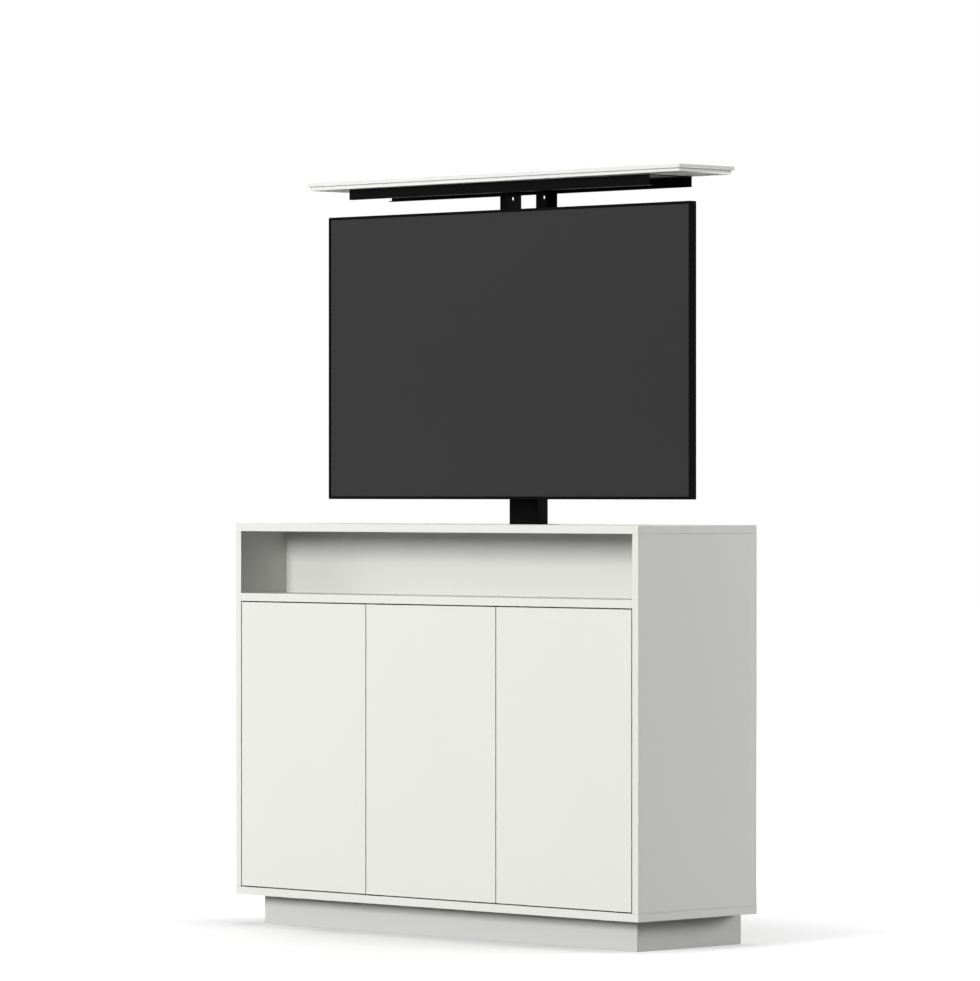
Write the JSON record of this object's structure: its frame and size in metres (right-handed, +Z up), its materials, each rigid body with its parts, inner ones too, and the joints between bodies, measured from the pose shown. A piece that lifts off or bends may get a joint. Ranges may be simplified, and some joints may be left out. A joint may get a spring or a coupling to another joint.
{
  "type": "tv lift cabinet",
  "caption": "Low wide cabinet with flush push-to-open doors, an open niche and a motor lift that raises a flat screen and its lid out of the top.",
  "frame": {"origin": "on the floor, under the middle of the cabinet's width and depth", "axes": "+Z up, the doors and the screen face -Y, +X to the right seen from the front"},
  "size_m": [1.36, 0.4, 1.8155],
  "materials": {
    "white_board": "satin white lacquer on board",
    "back_board": "matt off-white",
    "black_steel": "black powder coat, satin",
    "black_plastic": "matt black",
    "bright_steel": "plain steel",
    "cast_metal": "die cast, matt",
    "screen": "anti-glare dark panel"
  },
  "bodies": {
    "cabinet": {"plinth_front": "white_board", "plinth_left": "white_board", "plinth_right": "white_board", "plinth_back": "white_board", "bottom_board": "white_board", "left_side": "white_board", "right_side": "white_board", "top_board": "white_board", "niche_floor": "white_board", "partition": "white_board", "back_panel": "back_board", "standing_board_1": "white_board", "standing_board_2": "white_board", "shelf_1": "white_board", "shelf_2": "white_board", "shelf_3": "white_board", "door_1_top_frame_leaf": "bright_steel", "door_1_bottom_frame_leaf": "bright_steel", "door_2_top_frame_leaf": "bright_steel", "door_2_bottom_frame_leaf": "bright_steel", "door_3_top_frame_leaf": "bright_steel", "door_3_bottom_frame_leaf": "bright_steel", "latch_1_housing": "black_plastic", "latch_2_housing": "black_plastic", "latch_3_housing": "black_plastic", "gear_housing": "cast_metal", "motor": "black_steel", "control_box": "black_plastic", "outer_tube": "black_steel", "outer_collar": "black_plastic"},
    "left_door": {"door_1": "white_board", "door_1_top_door_leaf": "bright_steel", "door_1_bottom_door_leaf": "bright_steel"},
    "middle_door": {"door_2": "white_board", "door_2_top_door_leaf": "bright_steel", "door_2_bottom_door_leaf": "bright_steel"},
    "right_door": {"door_3": "white_board", "door_3_top_door_leaf": "bright_steel", "door_3_bottom_door_leaf": "bright_steel"},
    "left_plunger": {"latch_1_plunger": "black_plastic"},
    "middle_plunger": {"latch_2_plunger": "black_plastic"},
    "right_plunger": {"latch_3_plunger": "black_plastic"},
    "drive_spindle": {"lower_spindle": "bright_steel"},
    "middle_stage": {"mid_tube": "black_steel", "mid_collar": "black_plastic", "mid_foot": "black_plastic"},
    "sleeve_spindle": {"upper_spindle": "bright_steel"},
    "carriage": {"inner_tube": "black_steel", "inner_foot": "black_plastic", "head_plate": "black_steel", "left_upright": "black_steel", "right_upright": "black_steel", "lid_tray": "black_steel", "lid": "white_board", "mount_rail": "black_steel", "left_arm": "black_steel", "right_arm": "black_steel", "screen_frame": "black_plastic", "screen_panel": "screen", "screen_rear_cover": "black_plastic"}
  },
  "joints": [
    {"name": "lift", "type": "slide", "parent": "cabinet", "child": "carriage", "axis": [0, 0, 1], "range_m": [-0.827, 0]},
    {"name": "middle_stage_slide", "type": "slide", "parent": "cabinet", "child": "middle_stage", "axis": [0, 0, 1], "range_m": [-0.4135, 0]},
    {"name": "drive_spindle_turn", "type": "hinge", "parent": "cabinet", "child": "drive_spindle", "pos_m": [0, 0.131, 0.12], "axis": [0, 0, 1], "range_deg": [-7450, 0]},
    {"name": "sleeve_spindle_turn", "type": "hinge", "parent": "middle_stage", "child": "sleeve_spindle", "pos_m": [0, 0.131, 0.6], "axis": [0, 0, 1], "range_deg": [-7450, 0]},
    {"name": "left_door_hinge", "type": "hinge", "parent": "cabinet", "child": "left_door", "pos_m": [-0.654, -0.196, 0.441], "axis": [0, 0, -1], "range_deg": [0, 100]},
    {"name": "middle_door_hinge", "type": "hinge", "parent": "cabinet", "child": "middle_door", "pos_m": [-0.21433, -0.196, 0.441], "axis": [0, 0, -1], "range_deg": [0, 100]},
    {"name": "right_door_hinge", "type": "hinge", "parent": "cabinet", "child": "right_door", "pos_m": [0.654, -0.196, 0.441], "axis": [0, 0, 1], "range_deg": [0, 100]},
    {"name": "left_latch_push", "type": "slide", "parent": "cabinet", "child": "left_plunger", "axis": [0, 1, 0], "range_m": [0, 0.003], "stiffness_N_per_m": 800},
    {"name": "middle_latch_push", "type": "slide", "parent": "cabinet", "child": "middle_plunger", "axis": [0, 1, 0], "range_m": [0, 0.003], "stiffness_N_per_m": 800},
    {"name": "right_latch_push", "type": "slide", "parent": "cabinet", "child": "right_plunger", "axis": [0, 1, 0], "range_m": [0, 0.003], "stiffness_N_per_m": 800}
  ],
  "couplings": [
    {"joint": "middle_stage_slide", "follows": "lift", "ratio": 0.5},
    {"joint": "drive_spindle_turn", "follows": "lift", "rad_per_m": 157.08},
    {"joint": "sleeve_spindle_turn", "follows": "lift", "rad_per_m": 157.08}
  ]
}
